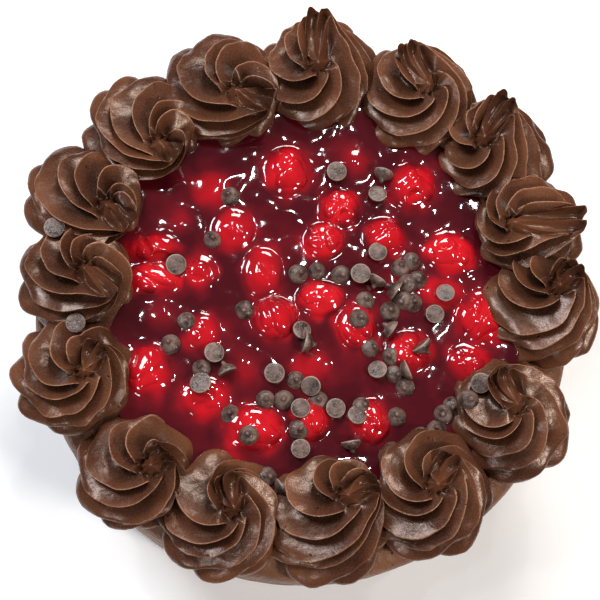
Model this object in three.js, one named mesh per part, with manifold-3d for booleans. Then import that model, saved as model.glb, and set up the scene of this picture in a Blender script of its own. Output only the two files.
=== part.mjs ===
// Black forest cake: a round layer cake under chocolate frosting, with a ring of piped
// chocolate swirls, a pool of cherry gel inside the ring, whole cherries standing in
// the gel and chocolate chips scattered over it.
// Units are millimetres, +Z is up, the origin is the centre of the flat underside.

import * as THREE from 'three';
import { mergeVertices } from 'three/addons/utils/BufferGeometryUtils.js';
import Module from 'manifold-3d';

const wasm = await Module();
wasm.setup();

// Driving sizes
const BODY_DIAMETER = 208;
const BODY_HEIGHT = 80;
const CLEARANCE = 0.3;
const GEL_DEPTH = 9;
const GEL_RADIUS = 79;
const SWIRL_HEIGHT = 25;
const FIN_COUNT = 8;
const SWIRL_TWIST = THREE.MathUtils.degToRad(150);
const TAIL_LIFT = 4;
const TAIL_REACH = 13.5;
const CHERRY_HALF_HEIGHT = 6.4;
const CHERRY_LIFT = 0.9;
const CHIP_RADIUS = 3.75;
const CHIP_HEIGHT = 5.4;
const CHIP_SIDES = 6;

// Heights that follow from the driving sizes
const TOP = BODY_HEIGHT + CLEARANCE;
const GEL_TOP = BODY_HEIGHT + GEL_DEPTH;

// The places of swirls, cherries and chips are written as columns and rows of a view
// from above, 600 wide and 600 high, with the row counted downwards. The eye of that
// view leans a little south and west of straight down.
const VIEW_MIDDLE = 300;
const VIEW_STEP = 0.38;
const VIEW_DISTANCE = 480;
const VIEW_LEAN_SOUTH = THREE.MathUtils.degToRad(13);
const VIEW_LEAN_WEST = THREE.MathUtils.degToRad(5);
const CAKE_CENTRE_SEEN = [309, 303];

// Each swirl: where its middle is seen, its eye, the tip of its pulled tail, its radius
// in mm. They run clockwise from the top of the view, and each is piped over the next
// one, apart from the last four, which are piped over the one before.
const SWIRLS = [
  { middle: [325, 77], eye: [318, 62], tail: [320, 16], radius: 22.8 },
  { middle: [425, 106], eye: [430, 84], tail: [404, 48], radius: 22.2 },
  { middle: [493, 155], eye: [484, 137], tail: [500, 100], radius: 21.6 },
  { middle: [527, 232], eye: [515, 222], tail: [580, 210], radius: 20.6 },
  { middle: [545, 308], eye: [566, 285], tail: [580, 262], radius: 23.6 },
  { middle: [512, 418], eye: [514, 400], tail: [492, 368], radius: 23.4 },
  { middle: [427, 493], eye: [438, 484], tail: [450, 452], radius: 23.2 },
  { middle: [325, 523], eye: [348, 495], tail: [376, 476], radius: 23.0 },
  { middle: [216, 518], eye: [234, 508], tail: [222, 474], radius: 22.8 },
  { middle: [130, 478], eye: [150, 465], tail: [165, 449], radius: 21.8 },
  { middle: [68, 378], eye: [84, 370], tail: [92, 338], radius: 23.2 },
  { middle: [74, 280], eye: [84, 268], tail: [122, 286], radius: 21.4 },
  { middle: [84, 200], eye: [106, 205], tail: [132, 221], radius: 20.8 },
  { middle: [147, 131], eye: [160, 143], tail: [180, 147], radius: 20.4 },
  { middle: [226, 97], eye: [236, 90], tail: [276, 95], radius: 22.6 },
];
const LAST_PIPED = 14;

// Each cherry: where its middle is seen, then its width and depth in mm.
const CHERRIES = [
  { seen: [288, 170], width: 16, depth: 19 },
  { seen: [208, 188], width: 17, depth: 15 },
  { seen: [153, 247], width: 19, depth: 11 },
  { seen: [154, 278], width: 19, depth: 12.5 },
  { seen: [199, 273], width: 14, depth: 14 },
  { seen: [148, 369], width: 16.5, depth: 19.5 },
  { seen: [201, 331], width: 13.5, depth: 14 },
  { seen: [233, 229], width: 16, depth: 15 },
  { seen: [263, 272], width: 15, depth: 19 },
  { seen: [340, 208], width: 15, depth: 15 },
  { seen: [325, 240], width: 15, depth: 14 },
  { seen: [385, 236], width: 15.5, depth: 14.5 },
  { seen: [321, 298], width: 18, depth: 13.5 },
  { seen: [275, 317], width: 16.5, depth: 16 },
  { seen: [357, 326], width: 14.5, depth: 17 },
  { seen: [311, 366], width: 15.5, depth: 13 },
  { seen: [205, 398], width: 17.5, depth: 15.5 },
  { seen: [409, 351], width: 16.5, depth: 15 },
  { seen: [451, 252], width: 20, depth: 15 },
  { seen: [443, 291], width: 16, depth: 11.5 },
  { seen: [482, 318], width: 18, depth: 18.5 },
  { seen: [471, 362], width: 17, depth: 13.5 },
  { seen: [412, 186], width: 17.5, depth: 18 },
  { seen: [254, 428], width: 20.5, depth: 16.5 },
  { seen: [312, 420], width: 13, depth: 14.5 },
  { seen: [372, 421], width: 13.5, depth: 16 },
];

// Cherries that lie wholly under the gel only lift its surface.
const SUNK_CHERRIES = [[355, 160], [180, 222], [247, 368], [338, 480], [232, 459]];
const SUNK_LIFT = 1.2;
const SUNK_SPREAD = 7;

// Chips by the way they lie: point up, flat base up, or on one side.
const CHIPS_POINT_UP = [
  [229, 195], [213, 238], [300, 273], [318, 270], [342, 275], [401, 266], [414, 261],
  [366, 299], [391, 310], [360, 317], [244, 310], [373, 347], [390, 356], [397, 374],
  [200, 367], [296, 380], [266, 399], [284, 399], [319, 400], [364, 405], [230, 413],
  [248, 434], [300, 429], [397, 415], [269, 476], [189, 319], [169, 342],
  [406, 283], [418, 280], [414, 302], [401, 301], [405, 388], [470, 399],
  [453, 407], [443, 414], [437, 428],
];
const CHIPS_BASE_UP = [
  [336, 173], [377, 197], [175, 265], [377, 253], [360, 275], [300, 332], [378, 372],
  [213, 354], [202, 385], [274, 374], [312, 385], [300, 409], [335, 409], [356, 417],
  [300, 449], [445, 295], [434, 315], [485, 384],
];
const CHIPS_ON_SIDE = [
  [382, 178], [375, 284], [391, 287], [387, 326], [311, 344], [225, 366], [352, 448],
  [278, 491], [425, 350], [402, 372],
];
const CHIPS_ON_SWIRLS = [
  { seen: [55, 229], swirl: 11, height: 14 },
  { seen: [76, 324], swirl: 10, height: 22 },
];

// Small helpers

const DRAW_FACTOR = 1664525;
const DRAW_STEP = 1013904223;
const DRAW_RANGE = 2 ** 32;

function randomFrom(seed) {
  let state = seed;
  return () => {
    state = (state * DRAW_FACTOR + DRAW_STEP) % DRAW_RANGE;
    return state / DRAW_RANGE;
  };
}

// A line of sight of the view from above, met at the height z.
function placeSeen([column, row], z) {
  const lean = new THREE.Vector3(-Math.tan(VIEW_LEAN_WEST), -Math.tan(VIEW_LEAN_SOUTH), 1);
  const away = lean.normalize();
  const ahead = away.clone().negate();
  const right = new THREE.Vector3().crossVectors(ahead, new THREE.Vector3(0, 1, 0)).normalize();
  const up = new THREE.Vector3().crossVectors(right, ahead);
  const target = new THREE.Vector3(
    (VIEW_MIDDLE - CAKE_CENTRE_SEEN[0]) * VIEW_STEP,
    (CAKE_CENTRE_SEEN[1] - VIEW_MIDDLE) * VIEW_STEP,
    GEL_TOP,
  );
  const eye = target.clone().addScaledVector(away, VIEW_DISTANCE);
  const ray = ahead.clone().multiplyScalar(VIEW_DISTANCE);
  ray.addScaledVector(right, (column - VIEW_MIDDLE) * VIEW_STEP);
  ray.addScaledVector(up, (VIEW_MIDDLE - row) * VIEW_STEP);
  return eye.addScaledVector(ray, (z - eye.z) / ray.z);
}

// A closed solid from rings of equal length, each joined to the next, with the first
// and the last ring closed by a fan round one more point.
function solidFromRings(rings, bottom, top) {
  const count = rings[0].length;
  const points = rings.flat();
  const faces = [];
  for (let level = 0; level + 1 < rings.length; level += 1) {
    for (let i = 0; i < count; i += 1) {
      const next = (i + 1) % count;
      const a = level * count + i;
      const b = level * count + next;
      faces.push(a, b, b + count, a, b + count, a + count);
    }
  }
  const bottomIndex = points.push(bottom) - 1;
  const topIndex = points.push(top) - 1;
  const last = (rings.length - 1) * count;
  for (let i = 0; i < count; i += 1) {
    const next = (i + 1) % count;
    faces.push(bottomIndex, next, i);
    faces.push(topIndex, last + i, last + next);
  }
  const mesh = new wasm.Mesh({
    numProp: 3,
    vertProperties: new Float32Array(points.flatMap((point) => [point.x, point.y, point.z])),
    triVerts: new Uint32Array(faces),
  });
  return new wasm.Manifold(mesh);
}

function largestPiece(solid) {
  const pieces = solid.decompose();
  pieces.sort((a, b) => b.volume() - a.volume());
  return pieces[0];
}

function boxesMeet(a, b) {
  const boxA = a.boundingBox();
  const boxB = b.boundingBox();
  return [0, 1, 2].every((k) => boxA.min[k] < boxB.max[k] && boxB.min[k] < boxA.max[k]);
}

function cutBy(solid, cutters) {
  let result = solid;
  for (const cutter of cutters) {
    if (boxesMeet(result, cutter)) result = result.subtract(cutter);
  }
  return result;
}

function joinAll(solid, others) {
  return others.reduce((joined, other) => joined.add(other), solid);
}

// Frosted body: how far each ring stands in from the full radius, and its height

const BODY_PROFILE = [
  { inset: 1.4, z: 0 },
  { inset: 0, z: 2.5 },
  { inset: 0, z: BODY_HEIGHT - 7 },
  { inset: 1.6, z: BODY_HEIGHT - 1.8 },
  { inset: 7, z: BODY_HEIGHT },
];
const BODY_SIDES = 34;
const BODY_UNEVENNESS = 0.5;

function bodyRing(radius, z) {
  const ring = [];
  for (let i = 0; i < BODY_SIDES; i += 1) {
    const angle = (2 * Math.PI * i) / BODY_SIDES;
    const wave = Math.sin(3 * angle + z * 0.05) + Math.sin(7 * angle - z * 0.09);
    const r = radius + BODY_UNEVENNESS * wave;
    ring.push(new THREE.Vector3(r * Math.cos(angle), r * Math.sin(angle), z));
  }
  return ring;
}

function makeBody() {
  const rings = BODY_PROFILE.map(({ inset, z }) => bodyRing(BODY_DIAMETER / 2 - inset, z));
  const middle = new THREE.Vector3(0, 0, BODY_HEIGHT);
  return solidFromRings(rings, new THREE.Vector3(0, 0, 0), middle);
}

// Piped swirls

// From the foot to the eye: share of the height, share of the radius, depth of the
// valleys between the fins as a share of that radius, share of the twist, and how much
// of the tail's lift the valleys miss.
const SWIRL_PROFILE = [
  { rise: 0, spread: 0.8, valley: 0.14, turn: 0, sag: 0.4 },
  { rise: 0.24, spread: 1, valley: 0.22, turn: 0.3, sag: 0.4 },
  { rise: 0.55, spread: 0.86, valley: 0.33, turn: 0.55, sag: 0.4 },
  { rise: 0.84, spread: 0.52, valley: 0.42, turn: 0.8, sag: 0.4 },
  { rise: 1, spread: 0.2, valley: 0.45, turn: 1, sag: 0 },
];
const EYE_DROP = 0.82;
const VALLEY_FILL = 0.5;
const POCKET_LEVELS = 3;

// The middle of a swirl is seen at its widest part, the eye near its top.
const MIDDLE_SEEN_AT = 0.4;
const EYE_SEEN_AT = 0.9;

// Across one valley, from fin to fin: how far round, and how deep.
const VALLEY_STEPS = [
  { along: 0, depth: 0 },
  { along: 0.3, depth: 1 },
  { along: 0.66, depth: 0.76 },
];

function swirlRing(swirl, level, grow) {
  const ring = [];
  const eyeShare = level.rise ** 2;
  const centre = swirl.foot.clone().lerp(swirl.eyePlace, eyeShare);
  const firstFin = swirl.tailAngle - SWIRL_TWIST * (1 - level.turn);
  for (let fin = 0; fin < FIN_COUNT; fin += 1) {
    for (const step of VALLEY_STEPS) {
      const angle = firstFin + (2 * Math.PI * (fin + step.along)) / FIN_COUNT;
      const valley = level.valley * step.depth * (1 - VALLEY_FILL * grow);
      const reach = swirl.radius * level.spread * (1 - valley) + grow;
      const towardsTail = Math.max(0, Math.cos(angle - swirl.tailAngle)) ** 3;
      const lift = TAIL_LIFT * towardsTail * level.rise ** 2;
      ring.push(new THREE.Vector3(
        centre.x + reach * Math.cos(angle),
        centre.y + reach * Math.sin(angle),
        TOP + level.rise * SWIRL_HEIGHT + lift * (1 - level.sag * step.depth),
      ));
    }
  }
  return ring;
}

function makeSwirl(swirl, grow) {
  const rings = SWIRL_PROFILE.map((level) => swirlRing(swirl, level, grow));
  const tip = rings[rings.length - 1][0];
  tip.x = swirl.tailPlace.x + 2 * grow * Math.cos(swirl.tailAngle);
  tip.y = swirl.tailPlace.y + 2 * grow * Math.sin(swirl.tailAngle);
  tip.z += grow;
  const foot = swirl.foot.clone().setZ(TOP);
  const eyeHeight = TOP + SWIRL_HEIGHT * EYE_DROP + grow;
  const eye = new THREE.Vector3(swirl.eyePlace.x, swirl.eyePlace.y, eyeHeight);
  return solidFromRings(rings, foot, eye);
}

// The hollow that a swirl leaves in the gel: its lower half, grown by the clearance.
function makeSwirlPocket(swirl) {
  const lowerHalf = SWIRL_PROFILE.slice(0, POCKET_LEVELS);
  const rings = lowerHalf.map((level) => swirlRing(swirl, level, CLEARANCE));
  const foot = swirl.foot.clone().setZ(rings[0][0].z);
  const topRise = lowerHalf[lowerHalf.length - 1].rise;
  const top = swirl.foot.clone().lerp(swirl.eyePlace, topRise ** 2).setZ(rings[rings.length - 1][0].z);
  return solidFromRings(rings, foot, top);
}

function placeSwirl(swirl) {
  const foot = placeSeen(swirl.middle, TOP + MIDDLE_SEEN_AT * SWIRL_HEIGHT);
  const eyePlace = placeSeen(swirl.eye, TOP + EYE_SEEN_AT * SWIRL_HEIGHT);
  const tailSeen = placeSeen(swirl.tail, TOP + SWIRL_HEIGHT + TAIL_LIFT);
  const pull = tailSeen.clone().sub(eyePlace).setZ(0).clampLength(0, TAIL_REACH);
  const tailPlace = eyePlace.clone().add(pull);
  const tailAngle = Math.atan2(pull.y, pull.x);
  return { ...swirl, foot, eyePlace, tailPlace, tailAngle };
}

// Cherries

const CHERRY_SIDES = 8;
const CHERRY_RINGS = 5;
const CHERRY_TOP_DENT = 0.06;
const CAP_HEIGHT = 2;

function cherryRadiusAt(cherry, angle, slope) {
  return 1 + 0.04 * Math.sin(2 * angle + cherry.phase) + 0.05 * Math.cos(3 * angle + slope);
}

function makeCherry(cherry, grow) {
  const rings = [];
  for (let level = 1; level < CHERRY_RINGS; level += 1) {
    const slope = -Math.PI / 2 + (Math.PI * level) / CHERRY_RINGS;
    const ring = [];
    for (let i = 0; i < CHERRY_SIDES; i += 1) {
      const angle = (2 * Math.PI * i) / CHERRY_SIDES;
      const uneven = cherryRadiusAt(cherry, angle, slope);
      const halfWidth = (cherry.width / 2) * uneven + grow;
      const halfDepth = (cherry.depth / 2) * uneven + grow;
      const x = cherry.place.x + halfWidth * Math.cos(slope) * Math.cos(angle);
      const y = cherry.place.y + halfDepth * Math.cos(slope) * Math.sin(angle);
      ring.push(new THREE.Vector3(x, y, cherry.place.z + (cherry.halfHeight + grow) * Math.sin(slope)));
    }
    rings.push(ring);
  }
  const bottom = cherry.place.clone().setZ(cherry.place.z - cherry.halfHeight - grow);
  const top = cherry.place.clone().setZ(cherry.place.z + cherry.halfHeight * (1 - CHERRY_TOP_DENT) + grow);
  return solidFromRings(rings, bottom, top);
}

function placeCherry(cherry, index) {
  const random = randomFrom(index + 1);
  const halfHeight = CHERRY_HALF_HEIGHT * (0.92 + 0.16 * random());
  const place = placeSeen(cherry.seen, GEL_TOP + CAP_HEIGHT);
  place.z = TOP + CHERRY_LIFT + halfHeight;
  return { ...cherry, halfHeight, place, phase: 2 * Math.PI * random() };
}

// Height of the cherry's skin over the point (x, y), or nothing beside it.
function cherryHeight(cherry, x, y) {
  const across = (2 * (x - cherry.place.x)) / cherry.width;
  const along = (2 * (y - cherry.place.y)) / cherry.depth;
  const rest = 1 - across * across - along * along;
  return rest > 0 ? cherry.place.z + cherry.halfHeight * Math.sqrt(rest) : -Infinity;
}

// Cherry gel

const GEL_RINGS = 3;
const GEL_SIDES = 24;

function gelHeight(x, y) {
  let height = GEL_TOP + 0.4 * Math.sin(x / 17 + 0.6) * Math.cos(y / 14);
  for (const seen of SUNK_CHERRIES) {
    const place = placeSeen(seen, GEL_TOP);
    const distance = Math.hypot(x - place.x, y - place.y);
    height += SUNK_LIFT * Math.exp(-((distance / SUNK_SPREAD) ** 2));
  }
  return height;
}

function makeGel() {
  const rings = [];
  const rim = [];
  for (let i = 0; i < GEL_SIDES; i += 1) {
    const angle = (2 * Math.PI * i) / GEL_SIDES;
    rim.push(new THREE.Vector3(GEL_RADIUS * Math.cos(angle), GEL_RADIUS * Math.sin(angle), TOP));
  }
  rings.push(rim);
  for (let level = GEL_RINGS; level > 0; level -= 1) {
    const share = level / GEL_RINGS;
    rings.push(rim.map((point) => {
      const x = point.x * share;
      const y = point.y * share;
      return new THREE.Vector3(x, y, gelHeight(x, y));
    }));
  }
  const middle = new THREE.Vector3(0, 0, gelHeight(0, 0));
  return solidFromRings(rings, new THREE.Vector3(0, 0, TOP), middle);
}

// Chocolate chips: one chip narrows a little to its shoulder, then to its tip

const CHIP_SHOULDER = { rise: 0.52, spread: 0.72 };

function makeChip(chip, grow) {
  const tilt = new THREE.Matrix4().makeRotationX(chip.lean);
  const turn = new THREE.Matrix4().makeRotationZ(chip.turn);
  const pose = new THREE.Matrix4().makeTranslation(chip.x, chip.y, chip.z).multiply(turn).multiply(tilt);
  const levels = [
    { z: -CHIP_HEIGHT / 2 - grow, r: CHIP_RADIUS + grow },
    { z: CHIP_HEIGHT * (CHIP_SHOULDER.rise - 0.5), r: CHIP_RADIUS * CHIP_SHOULDER.spread + grow },
  ];
  const rings = levels.map((level) => {
    const ring = [];
    for (let i = 0; i < CHIP_SIDES; i += 1) {
      const angle = (2 * Math.PI * i) / CHIP_SIDES;
      const point = new THREE.Vector3(level.r * Math.cos(angle), level.r * Math.sin(angle), level.z);
      ring.push(point.applyMatrix4(pose));
    }
    return ring;
  });
  const base = new THREE.Vector3(0, 0, -CHIP_HEIGHT / 2 - grow).applyMatrix4(pose);
  const tip = new THREE.Vector3(0, 0, CHIP_HEIGHT / 2 + grow).applyMatrix4(pose);
  return solidFromRings(rings, base, tip);
}

// The lean from point up, and the height of the chip's middle over its ground.
const CHIP_POSES = [
  { list: CHIPS_POINT_UP, lean: 0, spreadOfLean: 0.5, rise: 1.9 },
  { list: CHIPS_BASE_UP, lean: Math.PI, spreadOfLean: 0.35, rise: 0.6 },
  { list: CHIPS_ON_SIDE, lean: Math.PI / 2, spreadOfLean: 0.4, rise: 2.6 },
];

const CHIP_SEED = 77;
const BARE_CAP = 1.5;

function placeChips(cherries) {
  const random = randomFrom(CHIP_SEED);
  const chips = [];
  for (const pose of CHIP_POSES) {
    for (const seen of pose.list) {
      const place = placeSeen(seen, GEL_TOP + CAP_HEIGHT);
      const heights = cherries.map((cherry) => cherryHeight(cherry, place.x, place.y));
      const cherryTop = Math.max(...heights);
      const ground = Math.max(cherryTop, gelHeight(place.x, place.y));
      const owner = cherryTop > GEL_TOP + BARE_CAP ? heights.indexOf(cherryTop) : -1;
      const seat = placeSeen(seen, ground + pose.rise);
      chips.push({
        x: seat.x,
        y: seat.y,
        z: ground + pose.rise,
        lean: pose.lean + pose.spreadOfLean * (random() - 0.5),
        turn: 2 * Math.PI * random(),
        owner,
      });
    }
  }
  return chips;
}

function placeSwirlChip(chip) {
  const z = TOP + chip.height;
  const place = placeSeen(chip.seen, z);
  return { x: place.x, y: place.y, z, lean: Math.PI, turn: 0 };
}

// Colours and assembly

const FROSTING = { color: 0x4a3226, roughness: 0.5, metalness: 0 };
const GEL = { color: 0x5a1420, roughness: 0.12, metalness: 0 };
const CHERRY = { color: 0xc8141e, roughness: 0.15, metalness: 0 };

function toMesh(name, solid, finish) {
  const mesh = solid.getMesh();
  const geometry = new THREE.BufferGeometry();
  const positions = new Float32Array(mesh.numVert * 3);
  for (let i = 0; i < mesh.numVert; i += 1) {
    for (let k = 0; k < 3; k += 1) positions[3 * i + k] = mesh.vertProperties[i * mesh.numProp + k];
  }
  geometry.setAttribute('position', new THREE.BufferAttribute(positions, 3));
  geometry.setIndex(new THREE.BufferAttribute(new Uint32Array(mesh.triVerts), 1));
  const merged = mergeVertices(geometry, 1e-4);
  merged.computeVertexNormals();
  const result = new THREE.Mesh(merged, new THREE.MeshStandardMaterial(finish));
  result.name = name;
  return result;
}

function numbered(word, index) {
  return `${word}_${String(index + 1).padStart(2, '0')}`;
}

// The swirls piped over this one. From LAPPED_TWICE on, the one after it lies over it.
const LAPPED_TWICE = 10;

function swirlsOver(index) {
  const over = [];
  if (index === 0) over.push(LAST_PIPED);
  if (index > 0 && index <= LAPPED_TWICE) over.push(index - 1);
  if (index >= LAPPED_TWICE && index < LAST_PIPED) over.push(index + 1);
  return over;
}

function buildCake() {
  const cake = new THREE.Group();
  cake.name = 'black_forest_cake';
  cake.add(toMesh('frosted_cake', makeBody(), FROSTING));

  const swirls = SWIRLS.map(placeSwirl);
  const swirlChips = CHIPS_ON_SWIRLS.map((chip) => ({ ...placeSwirlChip(chip), owner: chip.swirl }));
  const chipsOf = (list, owner, grow) => list
    .filter((chip) => chip.owner === owner)
    .map((chip) => makeChip(chip, grow));
  const plainSwirls = swirls.map((swirl, i) => joinAll(makeSwirl(swirl, 0), chipsOf(swirlChips, i, 0)));
  const grownSwirls = swirls.map((swirl, i) => (
    joinAll(makeSwirl(swirl, CLEARANCE), chipsOf(swirlChips, i, CLEARANCE))));
  plainSwirls.forEach((whole, i) => {
    const cut = cutBy(whole, swirlsOver(i).map((k) => grownSwirls[k]));
    cake.add(toMesh(numbered('swirl', i), largestPiece(cut), FROSTING));
  });

  const cherries = CHERRIES.map(placeCherry);
  const chips = placeChips(cherries);
  const grownCherries = cherries.map((cherry, i) => (
    joinAll(makeCherry(cherry, CLEARANCE), chipsOf(chips, i, CLEARANCE))));
  cherries.forEach((cherry, i) => {
    const whole = joinAll(makeCherry(cherry, 0), chipsOf(chips, i, 0));
    const cut = cutBy(whole, [...grownSwirls, ...grownCherries.slice(0, i)]);
    cake.add(toMesh(numbered('cherry', i), largestPiece(cut), CHERRY));
  });

  const gelWithChips = joinAll(makeGel(), chipsOf(chips, -1, 0));
  const gel = cutBy(gelWithChips, [...swirls.map(makeSwirlPocket), ...grownCherries]);
  cake.add(toMesh('cherry_gel', largestPiece(gel), GEL));
  return cake;
}

export default buildCake();
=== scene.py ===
# %% [markdown]
# # A black forest cake, seen almost from above
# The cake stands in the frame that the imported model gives: metres, +Z up, the origin in
# the middle of the flat underside. The solids of that model are plain and coarse, and
# each one is replaced here by a piece with the same place and size and a finer surface.

import math

import bpy
import numpy as np
from mathutils import Matrix, Vector


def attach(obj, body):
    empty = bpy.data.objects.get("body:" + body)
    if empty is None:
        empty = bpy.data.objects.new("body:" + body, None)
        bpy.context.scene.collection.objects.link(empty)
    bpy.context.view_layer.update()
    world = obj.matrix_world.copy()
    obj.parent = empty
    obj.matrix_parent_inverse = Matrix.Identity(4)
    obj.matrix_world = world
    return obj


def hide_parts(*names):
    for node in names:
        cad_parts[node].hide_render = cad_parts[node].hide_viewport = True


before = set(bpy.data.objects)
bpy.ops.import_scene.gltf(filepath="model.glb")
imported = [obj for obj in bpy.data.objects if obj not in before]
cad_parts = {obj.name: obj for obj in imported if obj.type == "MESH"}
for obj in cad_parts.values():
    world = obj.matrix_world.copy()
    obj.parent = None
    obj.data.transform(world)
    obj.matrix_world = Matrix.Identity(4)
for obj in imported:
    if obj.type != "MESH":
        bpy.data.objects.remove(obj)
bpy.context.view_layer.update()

# %% [markdown]
# ## Sizes that drive everything
# A layer cake of 8 inches, with its frosting, is about 208 mm across. Chocolate chips and
# cherries have sizes that hardly change, so they set the scale of all the rest.

# %% Sizes of the cake
mm = 0.001
BODY_DIAMETER = 208 * mm
BODY_HEIGHT = 80 * mm
CLEARANCE = 0.3 * mm
GEL_DEPTH = 9 * mm
GEL_RADIUS = 79 * mm
GEL_UNDER_SWIRLS = 4 * mm
SWIRL_HEIGHT = 25 * mm
FIN_COUNT = 8
SWIRL_TWIST = math.radians(165)
TAIL_LIFT = 3.5 * mm
TAIL_REACH = 29 * mm
CHERRY_HALF_HEIGHT = 6.4 * mm
CHERRY_LIFT = 0.9 * mm
CHIP_RADIUS = 3.75 * mm
CHIP_HEIGHT = 5.4 * mm
TOP = BODY_HEIGHT + CLEARANCE
GEL_TOP = BODY_HEIGHT + GEL_DEPTH
print("gel stands at", GEL_TOP, "m")

# %% [markdown]
# ## The eye of the photo
# The photo looks down on the cake from about half a metre, a little from its lower left.
# The same eye serves twice: the camera stands there, and a line of sight from it, met at
# a known height, turns a column and a row of the photo into a place on the cake.

# %% A line of sight, met at a height
PHOTO_MIDDLE = 300
PHOTO_STEP = 0.38 * mm
VIEW_DISTANCE = 480 * mm
VIEW_LEAN_SOUTH = math.radians(13)
VIEW_LEAN_WEST = math.radians(5)
CAKE_CENTRE_SEEN = (309, 303)

away = Vector((-math.tan(VIEW_LEAN_WEST), -math.tan(VIEW_LEAN_SOUTH), 1)).normalized()
to_right = (-away).cross(Vector((0, 1, 0))).normalized()
to_top = to_right.cross(-away)
look_at = Vector((
    (PHOTO_MIDDLE - CAKE_CENTRE_SEEN[0]) * PHOTO_STEP,
    (CAKE_CENTRE_SEEN[1] - PHOTO_MIDDLE) * PHOTO_STEP,
    GEL_TOP,
))
eye_point = look_at + away * VIEW_DISTANCE


def place_seen(seen, z):
    ray = -away * VIEW_DISTANCE
    ray += to_right * (seen[0] - PHOTO_MIDDLE) * PHOTO_STEP
    ray += to_top * (PHOTO_MIDDLE - seen[1]) * PHOTO_STEP
    return eye_point + ray * ((z - eye_point.z) / ray.z)


print("the cake's middle at gel height:", place_seen(CAKE_CENTRE_SEEN, GEL_TOP))

# %% [markdown]
# ## Where the toppings lie
# These lists are columns and rows of the photo, read one by one. The swirls run clockwise
# from the top of the ring: first the middle, then the eye where the fins meet, then the
# tip of the pulled tail, and the radius in millimetres. The eleventh was piped first, and
# the ring was closed with the fifteenth.

# %% Places of the swirls
SWIRLS = [
    ((322, 74), (318, 62), (315, 4), 23.6), ((418, 100), (429, 84), (402, 40), 23.4),
    ((496, 154), (484, 137), (506, 90), 22.3), ((529, 229), (515, 222), (592, 213), 21.8),
    ((540, 308), (560, 285), (576, 262), 22.8), ((510, 418), (517, 404), (496, 370), 22.4),
    ((427, 493), (438, 484), (450, 452), 23.2), ((325, 523), (348, 495), (376, 476), 23.0),
    ((218, 516), (234, 508), (222, 474), 22.6), ((137, 472), (150, 465), (165, 449), 21.0),
    ((73, 370), (84, 370), (92, 338), 22.0), ((74, 279), (84, 268), (122, 286), 21.4),
    ((81, 196), (106, 205), (134, 220), 21.4), ((140, 124), (160, 143), (182, 147), 21.8),
    ((223, 91), (236, 90), (276, 95), 23.0),
]
FIRST_PIPED = 10
LAST_PIPED = 14
print("swirls:", len(SWIRLS))

# %% [markdown]
# Each cherry has the middle that is seen, then its width and depth in millimetres, and
# a share that tells how brightly it shines through the gel over it. A dull one lies lower,
# so that the gel closes over it. Seven more lie deep, where only a red glow and a low
# swelling tell of them.

# %% Places of the cherries
CHERRY_GLOW = [
    0.85, 0.62, 0.9, 0.95, 0.7, 0.82, 0.7, 0.72, 0.72, 0.95, 0.9, 0.8, 1.0,
    0.8, 0.85, 0.6, 0.72, 0.9, 1.0, 0.65, 0.85, 0.75, 0.85, 0.9, 0.85, 0.8,
]
CHERRIES = [
    ((288, 170), 16, 19), ((208, 188), 17, 15), ((153, 247), 19, 11), ((154, 278), 19, 12.5),
    ((199, 273), 14, 14), ((148, 369), 16.5, 19.5), ((201, 331), 13.5, 14),
    ((233, 229), 16, 15), ((263, 272), 15, 19), ((340, 208), 15, 15), ((325, 240), 15, 14),
    ((385, 236), 15.5, 14.5), ((321, 298), 18, 13.5), ((275, 317), 16.5, 16),
    ((357, 326), 14.5, 17), ((311, 366), 15.5, 13), ((205, 398), 17.5, 15.5),
    ((409, 351), 16.5, 15), ((451, 252), 20, 15), ((443, 291), 16, 11.5),
    ((482, 318), 18, 18.5), ((471, 362), 17, 13.5), ((412, 186), 17.5, 18),
    ((254, 428), 20.5, 16.5), ((312, 420), 13, 14.5), ((372, 421), 13.5, 16),
]
SUNK_CHERRIES = [(355, 160), (180, 222), (247, 368), (338, 480), (232, 459), (160, 318), (398, 292)]
SUNK_LIFT = 1.2 * mm
SUNK_SPREAD = 7 * mm
print("cherries:", len(CHERRIES), "and deep ones:", len(SUNK_CHERRIES))

# %% [markdown]
# Chips fall as they like: most come to rest on their base with the tip up, some on their
# tip with the base up, and a few on their side. So there is one list for each way to lie.
# Four have come down on a swirl. Their height is given, measured from the top of the cake:
# of the chip's middle for the first two, of the frosting under it for the others.

# %% Places of the chips
CHIPS_POINT_UP = [
    (229, 195), (213, 238), (300, 273), (318, 270), (342, 275), (401, 266), (414, 261),
    (366, 299), (391, 310), (360, 317), (244, 310), (373, 347), (390, 356), (397, 374),
    (200, 367), (296, 380), (266, 399), (284, 399), (319, 400), (364, 405), (230, 413),
    (248, 434), (300, 429), (397, 415), (269, 476), (189, 319), (169, 342),
    (406, 283), (418, 280), (414, 302), (401, 301), (405, 388), (470, 399),
    (453, 407), (443, 414), (437, 428),
]
CHIPS_BASE_UP = [
    (336, 173), (377, 197), (175, 265), (377, 253), (360, 275), (300, 332), (378, 372),
    (213, 354), (202, 385), (274, 374), (312, 385), (300, 409), (335, 409), (356, 417),
    (300, 449), (445, 295), (434, 315), (481, 383),
]
CHIPS_ON_SIDE = [
    (382, 178), (375, 284), (391, 287), (387, 326), (311, 344), (225, 366), (352, 448),
    (278, 491), (425, 350), (402, 372),
]
CHIPS_ON_SWIRLS = [((55, 229), 14.8 * mm), ((76, 324), 13.7 * mm)]
GROUND_ON_SWIRLS = {(470, 399): 17.2 * mm, (481, 383): 16 * mm}
print("chips:", sum(map(len, (CHIPS_POINT_UP, CHIPS_BASE_UP, CHIPS_ON_SIDE, CHIPS_ON_SWIRLS))))

# %% [markdown]
# ## Small tools
# A seeded draw that gives the same numbers each time, a soft ripple made of sine waves in
# many directions, and a curve that passes smoothly through a few named values.

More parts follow.
